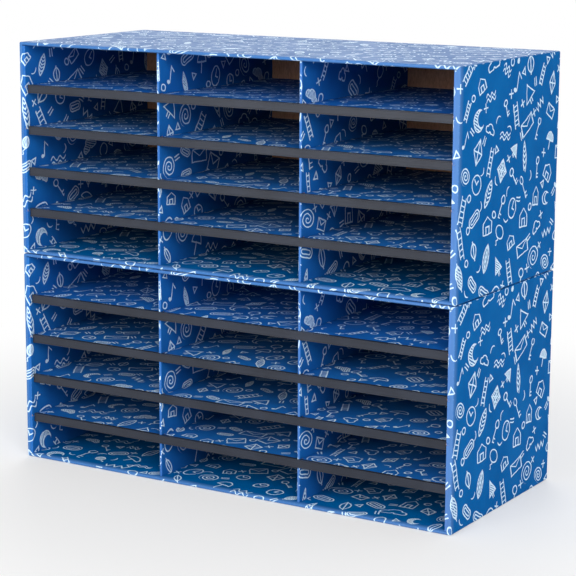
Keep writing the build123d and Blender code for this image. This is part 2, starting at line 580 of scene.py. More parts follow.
def add_unrolled(tree, place, direction):
    """The board's printed face laid flat, in millimetres.

    It is unrolled from the front folds, so the drawing runs over them without a break, and it starts afresh
    with each unit, because both units are printed from the same plates.
    """
    height = UNIT_HEIGHT / MM
    x, y, z = add_node(tree, "ShaderNodeSeparateXYZ", place).outputs
    nx, _, nz = add_node(tree, "ShaderNodeSeparateXYZ", direction).outputs
    values = {"x": x, "y": y, "z": z, "nx": nx, "nz": nz}
    add_sums(tree, values, (
        ("depth", "SUBTRACT", "y", FRONT_Y / MM),
        ("unit", "SUBTRACT", "z", SEAM),
        ("unit", "DIVIDE", "unit", height),
        ("unit", "FLOOR", "unit"),
        ("rise", "MULTIPLY_ADD", "unit", -height, "z"),
        ("nx_size", "ABSOLUTE", "nx"),
        ("nz_size", "ABSOLUTE", "nz"),
        ("side", "MAXIMUM", "nz_size", LEANING),
        ("side", "GREATER_THAN", "nx_size", "side"),
        ("turn", "SIGN", "nx"),
        ("turn", "MULTIPLY", "turn", "side"),
        ("u", "MULTIPLY_ADD", "turn", "depth", "x"),
        ("level", "MAXIMUM", "nx_size", LEANING),
        ("level", "GREATER_THAN", "nz_size", "level"),
        ("turn", "SIGN", "nz"),
        ("turn", "MULTIPLY", "turn", "level"),
        ("v", "MULTIPLY_ADD", "turn", "depth", "rise"),
    ))
    return add_node(tree, "ShaderNodeCombineXYZ", values["u"], values["v"])


def add_drawing(tree, flat):
    """The printed drawing on the flat board, as the distance in millimetres from the nearest line."""
    drawing = bpy.context.scene.sorter_print
    cell = drawing.cell / MM
    wobble = drawing.wobble / MM
    waver = add_node(
        tree, "ShaderNodeTexNoise", {"Vector": flat, "Scale": 1 / WAVER_SIZE, "Detail": 3.0, "Roughness": 0.6}
    ).outputs["Color"]
    sway = (wobble, wobble, 0)
    flat = add_node(tree, "ShaderNodeVectorMath", waver, sway, flat, operation="MULTIPLY_ADD")
    flat = add_node(
        tree, "ShaderNodeVectorRotate", {"Vector": flat, "Angle": LATTICE_TURN}, rotation_type="Z_AXIS"
    )
    column, row, local = add_cells(tree, flat, cell, (0, 0))
    key = add_node(tree, "ShaderNodeCombineXYZ", column, row, SHAPE_DRAW)
    choice = add_node(tree, "ShaderNodeTexWhiteNoise", key)
    pick, size, style = add_node(tree, "ShaderNodeSeparateXYZ", choice.outputs["Color"]).outputs
    key = add_node(tree, "ShaderNodeCombineXYZ", column, row, PLACE_DRAW)
    shift = add_node(tree, "ShaderNodeTexWhiteNoise", key).outputs["Color"]
    tilt = add_node(tree, "ShaderNodeSeparateXYZ", shift).outputs[2]
    local = add_node(tree, "ShaderNodeVectorMath", local, cell, operation="SCALE")
    values = {"pick": pick, "size": size, "style": style, "tilt": tilt}
    # A small motif has more room to stand off the middle of its cell
    add_sums(tree, values, (
        ("pick", "MULTIPLY", "pick", len(MOTIFS)),
        ("pick", "FLOOR", "pick"),
        between("tilt", "tilt", TILT),
        ("slim", "MULTIPLY", "size", FURTHER_DIGITS),
        ("slim", "FRACT", "slim"),
        between("slim", "slim", SLIMNESS),
        between("size", "size", SIZE),
        ("room", "MULTIPLY_ADD", "size", -2 * MOTIF_REACH, cell),
        ("stretch", "MULTIPLY", "size", "slim"),
        ("stretch", "DIVIDE", 1, "stretch"),
        ("shrink", "DIVIDE", "slim", "size"),
    ))
    shift = add_node(tree, "ShaderNodeVectorMath", shift, (0.5, 0.5, 0), operation="SUBTRACT")
    shift = add_node(tree, "ShaderNodeVectorMath", shift, values["room"], operation="SCALE")
    local = add_node(tree, "ShaderNodeVectorMath", local, shift, operation="ADD")
    local = add_node(
        tree, "ShaderNodeVectorRotate", {"Vector": local, "Angle": values["tilt"]}, rotation_type="Z_AXIS"
    )
    size = add_node(tree, "ShaderNodeCombineXYZ", values["stretch"], values["shrink"])
    local = add_node(tree, "ShaderNodeVectorMath", local, size, operation="MULTIPLY")
    values["x"], values["y"], _ = add_node(tree, "ShaderNodeSeparateXYZ", local).outputs
    add_sums(tree, values, MOTIF_BASE)
    add_picked(tree, values, MOTIFS, 0.0)
    add_sums(tree, values, (
        ("hatch", "ADD", "x", "y"),
        ("hatch", "PINGPONG", "hatch", HATCH_HALF_STEP),
        ("hatch", "MULTIPLY", "hatch", DIAGONAL),
        ("inside", "ADD", "body", HATCH_MARGIN),
        ("hatch", "MAXIMUM", "hatch", "inside"),
        ("plain", "LESS_THAN", "style", PLAIN_SHARE),
        ("open", "GREATER_THAN", "pick", CLOSED_MOTIFS - 0.5),
        ("plain", "MAXIMUM", "plain", "open"),
        ("hatch", "MULTIPLY_ADD", "plain", FAR_OFF, "hatch"),
        ("line", "MINIMUM", "line", "hatch"),
        ("drawn", "MULTIPLY", "line", "size"),
    ))
    # A filler stands where four motifs leave room
    column, row, local = add_cells(tree, flat, cell, FILLER_SHIFT)
    key = add_node(tree, "ShaderNodeCombineXYZ", column, row, FILLER_DRAW)
    pick = add_node(tree, "ShaderNodeTexWhiteNoise", key)
    local = add_node(tree, "ShaderNodeVectorMath", local, cell / FILLER_SIZE, operation="SCALE")
    turn = add_node(tree, "ShaderNodeMath", pick, FILLER_TURN, operation="MULTIPLY")
    local = add_node(tree, "ShaderNodeVectorRotate", {"Vector": local, "Angle": turn}, rotation_type="Z_AXIS")
    values["x"], values["y"], _ = add_node(tree, "ShaderNodeSeparateXYZ", local).outputs
    values["pick"] = pick
    add_sums(tree, values, MOTIF_BASE)
    add_sums(tree, values, (
        ("pick", "MULTIPLY", "pick", len(FILLERS) + EMPTY_SHARE),
        ("pick", "FLOOR", "pick"),
        ("empty", "GREATER_THAN", "pick", len(FILLERS) - 0.5),
        ("empty", "MULTIPLY", "empty", FAR_OFF),
    ))
    add_picked(tree, values, FILLERS, values["empty"])
    add_sums(tree, values, (
        ("line", "MULTIPLY", "line", FILLER_SIZE),
        ("line", "MINIMUM", "drawn", "line"),
    ))
    return values["line"]


def bare_tree(owner):
    """The node tree of a material or a world, emptied."""
    owner.use_nodes = True
    owner.node_tree.nodes.clear()
    return owner.node_tree


def new_material(name):
    """A material, its empty tree and its object coordinates in millimetres."""
    material = bpy.data.materials.new(name)
    tree = bare_tree(material)
    coordinates = add_node(tree, "ShaderNodeTexCoord").outputs["Object"]
    place = add_node(tree, "ShaderNodeVectorMath", coordinates, 1 / MM, operation="SCALE")
    return material, tree, place.outputs[0]


def close_material(tree, colour, roughness, height, depth, ior, specular):
    """Add the shader and the output, with a bump of the given depth from the height."""
    bump = add_node(tree, "ShaderNodeBump", {"Strength": 1.0, "Distance": depth, "Height": height})
    shader = add_node(tree, "ShaderNodeBsdfPrincipled", {
        "Base Color": colour,
        "Roughness": roughness,
        "Normal": bump,
        "IOR": ior,
        "Specular IOR Level": specular,
    })
    add_node(tree, "ShaderNodeOutputMaterial", shader)


def printed_board(name, flutes_across, blue, blue_deep, crease_and_sheen):
    """Litho-printed paper on corrugated board under a satin aqueous varnish.

    To the eye: saturated flat blue with chalk-white line drawings, paler where the board is folded,
    partly from cracked ink and partly as painted sheen, with painted highlights broken over the rounding,
    a soft broad glare at low angles, and a very faint washboard.
    """
    board = bpy.context.scene.sorter_board
    material, tree, place = new_material(name)
    direction = add_node(tree, "ShaderNodeTexCoord").outputs["Normal"]
    line = add_drawing(tree, add_unrolled(tree, place, direction))
    # Sizes of the patterns, in millimetres
    press_size, chalk_size, cloud_size, mark_size, tooth_size = 7, 1.6, 45, 3, 1.2

    # The stroke: its width varies a little along the line, as a chalk or a dry brush does
    stroke = bpy.context.scene.sorter_print.stroke / MM
    spread = 0.7
    press = add_node(tree, "ShaderNodeTexNoise", {"Vector": place, "Scale": 1 / press_size, "Detail": 2.0})
    half = add_node(tree, "ShaderNodeMath", press, spread, (stroke - spread) / 2, operation="MULTIPLY_ADD")
    edge = add_node(tree, "ShaderNodeMath", line, half, operation="SUBTRACT")
    ink = add_node(tree, "ShaderNodeMapRange", edge, 0.25, -0.25, 0, 1, interpolation_type="SMOOTHSTEP")
    chalk = add_node(tree, "ShaderNodeTexNoise", {"Vector": place, "Scale": 1 / chalk_size, "Detail": 3.0})
    dry = add_node(tree, "ShaderNodeMapRange", chalk, 0.3, 0.5, 0.78, 1.0)
    ink = add_node(tree, "ShaderNodeMath", ink, dry, operation="MULTIPLY")

    # The ground: slight mottling of a large printed solid
    cloud = add_node(tree, "ShaderNodeTexNoise", {"Vector": place, "Scale": 1 / cloud_size, "Detail": 4.0})
    cloud = add_node(tree, "ShaderNodeMapRange", cloud, 0.3, 0.7, 0, 1)
    ground = add_node(
        tree, "ShaderNodeMix", {0: cloud, 6: linear(blue), 7: linear(blue_deep)}, data_type="RGBA"
    )

    # The folds: everything printed that faces forward is a fold, paler partly from stretched, cracked ink
    # and partly as painted sheen, and on the case a creased band some 12 mm behind it is paler in the same
    # two ways
    nx, ny, nz = add_node(tree, "ShaderNodeSeparateXYZ", direction).outputs
    x, y, z = add_node(tree, "ShaderNodeSeparateXYZ", place).outputs
    values = {"nx": nx, "ny": ny, "nz": nz, "y": y}
    add_sums(tree, values, (
        ("depth", "SUBTRACT", "y", FRONT_Y / MM),
        ("front", "MULTIPLY", "ny", -1),
        ("nx", "ABSOLUTE", "nx"),
        ("ny", "ABSOLUTE", "ny"),
        ("nz", "ABSOLUTE", "nz"),
        ("facing", "MAXIMUM", "nx", "ny"),
        ("facing", "MAXIMUM", "facing", "nz"),
    ))
    # Painted sheen: the folds are painted paler towards the right end, standing for a sheen that falls there
    painted_sheen = add_node(tree, "ShaderNodeMapRange", x, cad_low.x / MM, cad_high.x / MM, 0.08, 0.4)
    folded = add_node(
        tree, "ShaderNodeMapRange", values["front"], 0.3, 1.0, 0, painted_sheen, interpolation_type="SMOOTHSTEP"
    )
    near = add_node(
        tree, "ShaderNodeMapRange", values["depth"], 1, 12, crease_and_sheen, 0, interpolation_type="SMOOTHSTEP"
    )
    # Fold paleness: partly cracked ink, partly painted sheen
    folded = add_node(tree, "ShaderNodeMath", folded, near, operation="MAXIMUM")
    ground = add_node(
        tree, "ShaderNodeMix", {0: folded, 6: ground, 7: linear(board.fold_and_sheen_blue)}, data_type="RGBA"
    )
    # Fine broken paler flecks on the rounding of the folds: partly scuffed ink and partly painted highlight
    scuff_and_highlight = add_node(tree, "ShaderNodeMapRange", values["facing"], 0.98, 0.8, 0, 0.35)
    scuff_and_highlight_flecks = add_node(
        tree, "ShaderNodeTexNoise", {"Vector": place, "Scale": 1 / mark_size, "Detail": 4.0, "Roughness": 0.7}
    )
    scuff_and_highlight_flecks = add_node(tree, "ShaderNodeMapRange", scuff_and_highlight_flecks, 0.5, 0.68, 0, 1)
    scuff_and_highlight = add_node(tree, "ShaderNodeMath", scuff_and_highlight, scuff_and_highlight_flecks, operation="MULTIPLY")
    ground = add_node(tree, "ShaderNodeMix", {0: scuff_and_highlight, 6: ground, 7: linear(board.scuff_and_highlight_blue)}, data_type="RGBA")
    colour = add_node(tree, "ShaderNodeMix", {0: ink, 6: ground, 7: linear(board.ink)}, data_type="RGBA")

    # Washboard of the flutes showing through the liner, and the paper's own fine tooth
    axes = {"x": x, "y": y, "z": z}
    turns = math.tau * MM / board.flute_pitch
    ripple = None
    for axis in flutes_across:
        wave = add_node(tree, "ShaderNodeMath", axes[axis], turns, operation="MULTIPLY")
        wave = add_node(tree, "ShaderNodeMath", wave, operation="SINE")
        ripple = add_node(tree, "ShaderNodeMath", ripple, wave, operation="ADD") if ripple else wave
    tooth = add_node(tree, "ShaderNodeTexNoise", {"Vector": place, "Scale": 1 / tooth_size, "Detail": 2.0})
    relief = add_node(tree, "ShaderNodeMath", ripple, 0.1, tooth, operation="MULTIPLY_ADD")
    satin = add_node(tree, "ShaderNodeMapRange", cloud, 0, 1, 0.36, 0.46)
    close_material(tree, colour, satin, relief, 0.06 * MM, 1.45, 0.012)
    return material


def kraft_liner():
    """Unbleached kraft paper, the plain face of the same board, uncoated.

    To the eye: warm mid-brown, dry and matt, with short darker and lighter fibres lying mostly one way.
    """
    board = bpy.context.scene.sorter_board
    material, tree, place = new_material("kraft_liner_uncoated")
    # A fibre's width and how it is drawn out, and the size of the clouds, in millimetres
    fibre_size, lengthwise, cloud_size = 1.5, 0.22, 30
    drawn = add_node(tree, "ShaderNodeMapping", {"Vector": place, "Scale": (1.0, 1.0, lengthwise)})
    fibre = add_node(tree, "ShaderNodeTexNoise", {
        "Vector": drawn, "Scale": 1 / fibre_size, "Detail": 5.0, "Roughness": 0.65,
    })
    streak = add_node(tree, "ShaderNodeMapRange", fibre, 0.38, 0.66, 0, 1)
    colour = add_node(tree, "ShaderNodeMix", {
        0: streak, 6: linear(board.kraft), 7: linear(board.kraft_dark),
    }, data_type="RGBA")
    cloud = add_node(tree, "ShaderNodeTexNoise", {"Vector": place, "Scale": 1 / cloud_size, "Detail": 3.0})
    cloud = add_node(tree, "ShaderNodeMapRange", cloud, 0.3, 0.7, 0.0, 0.35)
    colour = add_node(
        tree, "ShaderNodeMix", {0: cloud, 6: colour, 7: linear(board.kraft_pale)}, data_type="RGBA"
    )
    x = add_node(tree, "ShaderNodeSeparateXYZ", place).outputs[0]
    flute = add_node(tree, "ShaderNodeMath", x, math.tau * MM / board.flute_pitch, operation="MULTIPLY")
    flute = add_node(tree, "ShaderNodeMath", flute, operation="SINE")
    relief = add_node(tree, "ShaderNodeMath", flute, 0.25, fibre, operation="MULTIPLY_ADD")
    matt = add_node(tree, "ShaderNodeMapRange", fibre, 0.3, 0.7, 0.82, 0.92)
    close_material(tree, colour, matt, relief, 0.09 * MM, 1.5, 0.25)
    return material


def cut_board():
    """The die-cut edge of the board: liners and fluted medium of raw kraft.

    To the eye: darker, dusty brown with torn fibres, and shade between the flutes.
    """
    board = bpy.context.scene.sorter_board
    material, tree, place = new_material("kraft_cut_edge")
    fibre_size = 0.8
    fibre = add_node(tree, "ShaderNodeTexNoise", {
        "Vector": place, "Scale": 1 / fibre_size, "Detail": 4.0, "Roughness": 0.7,
    })
    streak = add_node(tree, "ShaderNodeMapRange", fibre, 0.35, 0.65, 0, 1)
    colour = add_node(tree, "ShaderNodeMix", {
        0: streak, 6: linear(board.kraft_pale), 7: linear(board.kraft_dark),
    }, data_type="RGBA")
    matt = add_node(tree, "ShaderNodeMapRange", fibre, 0.3, 0.7, 0.86, 0.96)
    close_material(tree, colour, matt, fibre, 0.15 * MM, 1.5, 0.2)
    return material


def strip_plastic():
    """Extruded rigid vinyl, charcoal, with a fine satin grain from the die.

    To the eye: neutral dark grey that lifts to mid-grey where it catches light, faint long drag lines.
    """
    strip = bpy.context.scene.sorter_strip
    material, tree, place = new_material("charcoal_vinyl_extrusion")
    # A drag line's width and how it is drawn out, and the sizes of the grain and the clouds, in millimetres.
    # Real grain is near 0.05 mm; it is drawn at 0.5 mm, the finest that shows.
    drag_size, lengthwise, grain_size, cloud_size = 0.9, 0.012, 0.5, 60
    drawn = add_node(tree, "ShaderNodeMapping", {"Vector": place, "Scale": (lengthwise, 1.0, 1.0)})
    drag = add_node(tree, "ShaderNodeTexNoise", {"Vector": drawn, "Scale": 1 / drag_size, "Detail": 3.0})
    grain = add_node(tree, "ShaderNodeTexNoise", {"Vector": place, "Scale": 1 / grain_size, "Detail": 2.0})
    cloud = add_node(tree, "ShaderNodeTexNoise", {"Vector": place, "Scale": 1 / cloud_size, "Detail": 3.0})
    tone = add_node(tree, "ShaderNodeMath", drag, 0.6, cloud, operation="MULTIPLY_ADD")
    tone = add_node(tree, "ShaderNodeMapRange", tone, 0.55, 1.05, 0, 1)
    colour = add_node(tree, "ShaderNodeMix", {
        0: tone, 6: linear(strip.charcoal), 7: linear(strip.charcoal_pale),
    }, data_type="RGBA")
    relief = add_node(tree, "ShaderNodeMath", drag, 1.5, grain, operation="MULTIPLY_ADD")
    satin = add_node(tree, "ShaderNodeMapRange", grain, 0.3, 0.7, 0.28, 0.36)
    close_material(tree, colour, satin, relief, 0.03 * MM, 1.5, 0.3)
    return material


def finishes():
    """The object's materials by name, each made once.

    The flutes run front to back in the case, and across in what is let into it. Only the case has the pale
    creased band behind its folds, partly cracked ink and partly painted sheen.
    """
    if not FINISHES:
        board = bpy.context.scene.sorter_board
        FINISHES["case"] = printed_board("litho_printed_case_board", "xz", board.blue, board.blue_deep, 0.28)
        # The insert board's lighter, redder blues are painted bounce light for the shaded interior
        FINISHES["insert"] = printed_board(
            "litho_printed_insert_board", "y", board.insert_bounce_blue, board.insert_bounce_deep, 0.0
        )
        FINISHES["kraft"] = kraft_liner()
        FINISHES["cut"] = cut_board()
        FINISHES["strip"] = strip_plastic()
    return FINISHES


def add_object(name, data):
    """A new object in the scene."""
    thing = bpy.data.objects.new(name, data)
    bpy.context.scene.collection.objects.link(thing)
    return thing


def add_mesh(bm, name, *materials):
    """A new object from a bmesh, which is used up."""
    mesh = bpy.data.meshes.new(name)
    bm.to_mesh(mesh)
    bm.free()
    for material in materials:
        mesh.materials.append(material)
    return add_object(name, mesh)


def finish_piece(bm, name, body, node, slot, *looks):
    """Close a bmesh: its normals, its crisp edges, its object, and its place in the frame."""
    bmesh.ops.dissolve_degenerate(bm, dist=MERGE, edges=bm.edges)
    bmesh.ops.recalc_face_normals(bm, faces=bm.faces)
    for face in bm.faces:
        face.smooth = True
    for edge in bm.edges:
        edge.smooth = edge.is_manifold and edge.calc_face_angle(0) < CRISP
    piece = add_mesh(bm, name, *[finishes()[look] for look in looks])
    weights = piece.modifiers.new("Flat faces stay flat", "WEIGHTED_NORMAL")
    weights.keep_sharp = True
    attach(piece, body)
    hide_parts(node)


def add_plate(bm, outline, thickness):
    """A board or strip from its outline: a few corners, then extruded by the thickness."""
    face = bm.faces.new([bm.verts.new(corner) for corner in outline])
    raised = bmesh.ops.extrude_face_region(bm, geom=[face])["geom"]
    corners = [item for item in raised if isinstance(item, bmesh.types.BMVert)]
    bmesh.ops.translate(bm, verts=corners, vec=thickness)
    bmesh.ops.recalc_face_normals(bm, faces=bm.faces)


def fold(bm, edges, radius):
    """Round edges as a folded board does."""
    steps = bpy.context.scene.sorter_board.fold_steps
    rounded = bmesh.ops.bevel(
        bm, geom=edges, offset=radius, offset_type="OFFSET", segments=steps, profile=0.5, affect="EDGES",
        material=-1, clamp_overlap=True,
    )
    return rounded["verts"]


def lies_at(item, axis, level):
    """Whether all of an edge or a face lies at one level of an axis."""
    return all(abs(vert.co[axis] - level) < SAME for vert in item.verts)


def is_upright(edge):
    """Whether an edge rises from one end to the other."""
    return abs(edge.verts[0].co.z - edge.verts[1].co.z) > SAME


def split_faces(bm, faces, place, normal):
    """Cut only the given faces along a plane."""
    edges = dict.fromkeys(edge for face in faces for edge in face.edges)
    verts = dict.fromkeys(vert for face in faces for vert in face.verts)
    bmesh.ops.bisect_plane(bm, geom=[*faces, *edges, *verts], plane_co=place, plane_no=normal, dist=MERGE)


def assign_sides(bm, axis):
    """Print the face of a board that points along an axis, leave its other face plain and its edges cut."""
    for face in bm.faces:
        way = face.normal[axis]
        face.material_index = PRINTED if way > FACING else KRAFT if way < -FACING else RAW


def open_flutes(bm, faces):
    """Sink each cut face between its liners and stand the wavy medium in the gap."""
    board = bpy.context.scene.sorter_board
    depth = board.flute_depth
    for face in faces:
        outward = face.normal.copy()
        longest = max(face.edges, key=lambda edge: edge.calc_length())
        shortest = min(face.edges, key=lambda edge: edge.calc_length())
        along = (longest.verts[1].co - longest.verts[0].co).normalized()
        across = outward.cross(along)
        run = longest.calc_length() - 2 * board.liner
        gap = shortest.calc_length() - 2 * board.liner
        if run < board.flute_pitch:
            continue
        bmesh.ops.inset_individual(bm, faces=[face], thickness=board.liner, use_even_offset=True)
        centre = face.calc_center_median()
        sunk = bmesh.ops.extrude_discrete_faces(bm, faces=[face])["faces"]
        bmesh.ops.translate(bm, verts=sunk[0].verts, vec=-outward * depth)
        for rim in {linked for vert in sunk[0].verts for linked in vert.link_faces}:
            rim.material_index = RAW
        waves = max(1, round(run / board.flute_pitch))
        turn = Matrix((along, -outward, across)).transposed().to_4x4()
        size = Matrix.Diagonal((run, depth * MEDIUM_REACH, 1, 1))
        stand = Matrix.Translation(centre - outward * depth / 2) @ turn @ size
        sheet = bmesh.ops.create_grid(
            bm, x_segments=waves * WAVE_FACETS, y_segments=1, size=0.5, matrix=stand
        )["verts"]
        swing = (gap - MEDIUM) / 2
        for vert in sheet:
            share = (vert.co - centre).dot(along) / run + 0.5
            vert.co += across * (swing * math.sin(math.tau * waves * share) - MEDIUM / 2)
        wavy = list(dict.fromkeys(linked for vert in sheet for linked in vert.link_faces))
        thick = bmesh.ops.solidify(bm, geom=wavy, thickness=MEDIUM)["geom"]
        for item in [*wavy, *thick]:
            if isinstance(item, bmesh.types.BMFace):
                item.material_index = RAW


def cut_frame(bm, low, high, end_y, gauge):
    """Cut one end of the case into a frame of the given gauge, and return the face of its opening."""
    for place, normal in (
        ((low.x + gauge, 0, 0), (1, 0, 0)),
        ((high.x - gauge, 0, 0), (1, 0, 0)),
        ((0, 0, low.z + gauge), (0, 0, 1)),
        ((0, 0, high.z - gauge), (0, 0, 1)),
    ):
        split_faces(bm, [face for face in bm.faces if lies_at(face, Y, end_y)], place, normal)
    middle = Vector(((low.x + high.x) / 2, end_y, (low.z + high.z) / 2))
    ends = [face for face in bm.faces if lies_at(face, Y, end_y)]
    # The upper and lower rolls run the full width, so the short cuts beside them go
    spare = [
        edge
        for edge in bm.edges
        if lies_at(edge, Y, end_y)
        and is_upright(edge)
        and edge.calc_length() < 2 * gauge
        and low.x + SAME < edge.verts[0].co.x < high.x - SAME
    ]
    opening = min(ends, key=lambda face: (face.calc_center_median() - middle).length)
    bmesh.ops.dissolve_edges(bm, edges=spare)
    return opening


def build_case(unit):
    """The case: a tube of board, rolled in on itself at the front, with its flutes open at the back."""
    board = bpy.context.scene.sorter_board
    low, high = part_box(f"{unit}_case")
    bm = bmesh.new()
    # The top and the floor fall off a little to their edges, which leaves the seam between two units open
    drop = Vector((0, 0, board.crown))
    rim_low, rim_high = low + drop, high - drop
    size = high - low - 2 * drop
    bmesh.ops.create_cube(bm, size=1, matrix=Matrix.LocRotScale((low + high) / 2, None, size))
    level = [face for face in bm.faces if abs(face.normal.z) > FACING]
    bmesh.ops.inset_individual(
        bm, faces=level, thickness=board.crown_reach, depth=board.crown, use_even_offset=True
    )
    front = cut_frame(bm, low, high, low.y, 2 * board.case_board)
    back = cut_frame(bm, low, high, high.y, board.case_board)
    # The back panel's rebate, then the end of the inner ply
    back = bmesh.ops.extrude_discrete_faces(bm, faces=[back])["faces"][0]
    bmesh.ops.translate(bm, verts=back.verts, vec=(0, -board.case_board, 0))
    bmesh.ops.inset_individual(bm, faces=[back], thickness=board.case_board, use_even_offset=True)
    loops = [*front.edges, *back.edges]
    bmesh.ops.delete(bm, geom=[front, back], context="FACES_ONLY")
    bmesh.ops.bridge_loops(bm, edges=loops)
    # The board is cut at the back, from the rebate on
    for face in bm.faces:
        rear = face.calc_center_median().y > high.y - board.case_board - SAME
        face.material_index = RAW if rear else PRINTED

    def outermost(edge, axis):
        least, most = rim_low[axis] + SAME, rim_high[axis] - SAME
        return not any(least < vert.co[axis] < most for vert in edge.verts)

    # The outer corners and the front are folds; the mouth is rolled in where no support hides it
    ends = [edge for edge in bm.edges if lies_at(edge, Y, low.y) and edge.calc_face_angle(0) > SQUARE]
    corners = [edge for edge in bm.edges if outermost(edge, X) and outermost(edge, Z)]
    corners += [edge for edge in ends if outermost(edge, X) or outermost(edge, Z)]
    mouth = [edge for edge in ends if edge not in corners and not is_upright(edge)]
    for vert in fold(bm, mouth, board.inner_roll):
        vert.co.y = low.y + (vert.co.y - low.y) * board.roll_reach / board.inner_roll
    fold(bm, [edge for edge in corners if edge.is_valid], board.case_fold)
    open_flutes(bm, [face for face in bm.faces if face.material_index == RAW and lies_at(face, Y, high.y)])
    finish_piece(bm, f"{unit}_case_board", f"{unit}_unit", f"{unit}_case", "printed_board", "case", "cut")


def build_back_panel(unit):
    """The back panel: printed outside, plain kraft inside."""
    low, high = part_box(f"{unit}_back_panel")
    bm = bmesh.new()
    bmesh.ops.create_cube(bm, size=1, matrix=Matrix.LocRotScale((low + high) / 2, None, high - low))
    assign_sides(bm, Y)
    fold(bm, list(bm.edges), bpy.context.scene.sorter_board.panel_edge)
    finish_piece(
        bm, f"{unit}_back_board", f"{unit}_unit", f"{unit}_back_panel", "back_board", "case", "cut", "kraft"
    )


def build_partition(unit, name):
    """An upright: two plies folded at the front, slotted from the front to half the shelf's depth."""
    board = bpy.context.scene.sorter_board
    strip = bpy.context.scene.sorter_strip
    low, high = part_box(f"{unit}_{name}")
    support = "support" in name
    # The outline is drawn from the bottom of the front edge upwards, in and out of each slot
    outline = [(low.y, low.z)]
    for row in range(1, ROWS + 1):
        shelf_low, shelf_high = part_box(f"{unit}_shelf_{row}")
        edge_low, edge_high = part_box(f"{unit}_shelf_edge_{row}")
        front = edge_low.y + strip.rail_proud + strip.face_wall
        slot_end = (front + shelf_high.y) / 2 + board.play
        mouth_end = edge_high.y + board.play
        bottom, top = shelf_low.z - board.play, shelf_high.z + board.play
        under, over = bottom - strip.grip_wall, top + strip.grip_wall
        slot = [(slot_end, bottom), (slot_end, top)]
        if support:
            outline += [(low.y, bottom), *slot, (low.y, top)]
        else:
            outline += [(low.y, under), (mouth_end, under), (mouth_end, bottom), *slot]
            outline += [(mouth_end, top), (mouth_end, over), (low.y, over)]
    outline += [(low.y, high.z), (high.y, high.z), (high.y, low.z)]
    bm = bmesh.new()
    add_plate(bm, [Vector((low.x, y, z)) for y, z in outline], (high.x - low.x, 0, 0))
    for face in bm.faces:
        # A side support's ends show only through the rolled mouth, where they are wrapped
        wrapped = support and (lies_at(face, Z, low.z) or lies_at(face, Z, high.z))
        printed = wrapped or abs(face.normal.x) > FACING or lies_at(face, Y, low.y)
        face.material_index = PRINTED if printed else RAW
    middle = (low + high) / 2
    for side, side_x in ((-1, low.x), (1, high.x)):
        # A side support keeps its outer front edge square against the case
        if support and middle.x * side > 0:
            continue
        corners = [edge for edge in bm.edges if lies_at(edge, Y, low.y) and lies_at(edge, X, side_x)]
        fold(bm, [edge for edge in corners if is_upright(edge)], board.partition_fold)
    # The seam where the two plies meet in the slots
    level = [face for face in bm.faces if abs(face.normal.z) > FACING]
    slots = [face for face in level if low.z + SAME < face.calc_center_median().z < high.z - SAME]
    split_faces(bm, slots, middle, (1, 0, 0))
    finish_piece(
        bm, f"{unit}_{name}_board", f"{unit}_unit", f"{unit}_{name}", "printed_board", "insert", "cut"
    )


def build_shelf(unit, row):
    """A shelf: printed above, plain kraft below, lapped onto the uprights by slots open to the back.

    Its front corners run on as folded lugs, which fill the side supports' slots.
    """
    board = bpy.context.scene.sorter_board
    strip = bpy.context.scene.sorter_strip
    low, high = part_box(f"{unit}_shelf_{row}")
    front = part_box(f"{unit}_shelf_edge_{row}")[0].y + strip.rail_proud + strip.face_wall
    lap = (front + high.y) / 2
    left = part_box(f"{unit}_left_side_support")[1].x
    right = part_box(f"{unit}_right_side_support")[0].x
    outline = [(low.x, low.y), (left, low.y), (left, front), (right, front), (right, low.y), (high.x, low.y)]
    outline += [(high.x, lap), (right - board.play, lap), (right - board.play, high.y)]
    for divider in ("right_divider", "left_divider"):
        near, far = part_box(f"{unit}_{divider}")
        near, far = near.x - board.play, far.x + board.play
        outline += [(far, high.y), (far, lap), (near, lap), (near, high.y)]
    outline += [(left + board.play, high.y), (left + board.play, lap), (low.x, lap)]
    bm = bmesh.new()
    add_plate(bm, [Vector((x, y, low.z)) for x, y in outline], (0, 0, high.z - low.z))
    assign_sides(bm, Z)
    for face in bm.faces:
        lug = face.calc_center_median().y < front - SAME
        if lug and face.material_index == RAW:
            face.material_index = PRINTED
    open_flutes(bm, [face for face in bm.faces if face.material_index == RAW and abs(face.normal.x) > FACING])
    corners = [edge for edge in bm.edges if lies_at(edge, Y, low.y) and is_upright(edge)]
    corners = [edge for edge in corners if lies_at(edge, X, left) or lies_at(edge, X, right)]
    fold(bm, corners, board.partition_fold)
    name = f"{unit}_shelf_{row}"
    finish_piece(bm, f"{name}_board", name, name, "printed_board", "insert", "cut", "kraft")


def build_edge_strip(unit, row):
    """The plastic strip: a channel over the shelf's edge, its tall face railed above and below."""
    strip = bpy.context.scene.sorter_strip
    low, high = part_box(f"{unit}_shelf_edge_{row}")
    shelf_low, shelf_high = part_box(f"{unit}_shelf_{row}")
    face_y = low.y + strip.rail_proud
    back_y = face_y + strip.face_wall
    under = shelf_low.z - strip.grip_wall
    rail_over, rail_under = high.z - strip.rail_height, low.z + strip.rail_height
    section = (
        (low.y, high.z), (low.y, rail_over), (face_y, rail_over), (face_y, rail_under), (low.y, rail_under),
        (low.y, low.z), (back_y, low.z), (back_y, under), (high.y, under), (high.y, shelf_low.z),
        (back_y, shelf_low.z), (back_y, shelf_high.z), (back_y + strip.top_grip, shelf_high.z),
        (back_y + strip.top_grip, high.z),
    )
    bm = bmesh.new()
    add_plate(bm, [Vector((low.x, y, z)) for y, z in section], (high.x - low.x, 0, 0))
    fold(bm, list(bm.edges), strip.edge)
    shelf = f"{unit}_shelf_{row}"
    finish_piece(bm, f"{unit}_edge_strip_{row}", shelf, f"{unit}_shelf_edge_{row}", "edge_strip", "strip")


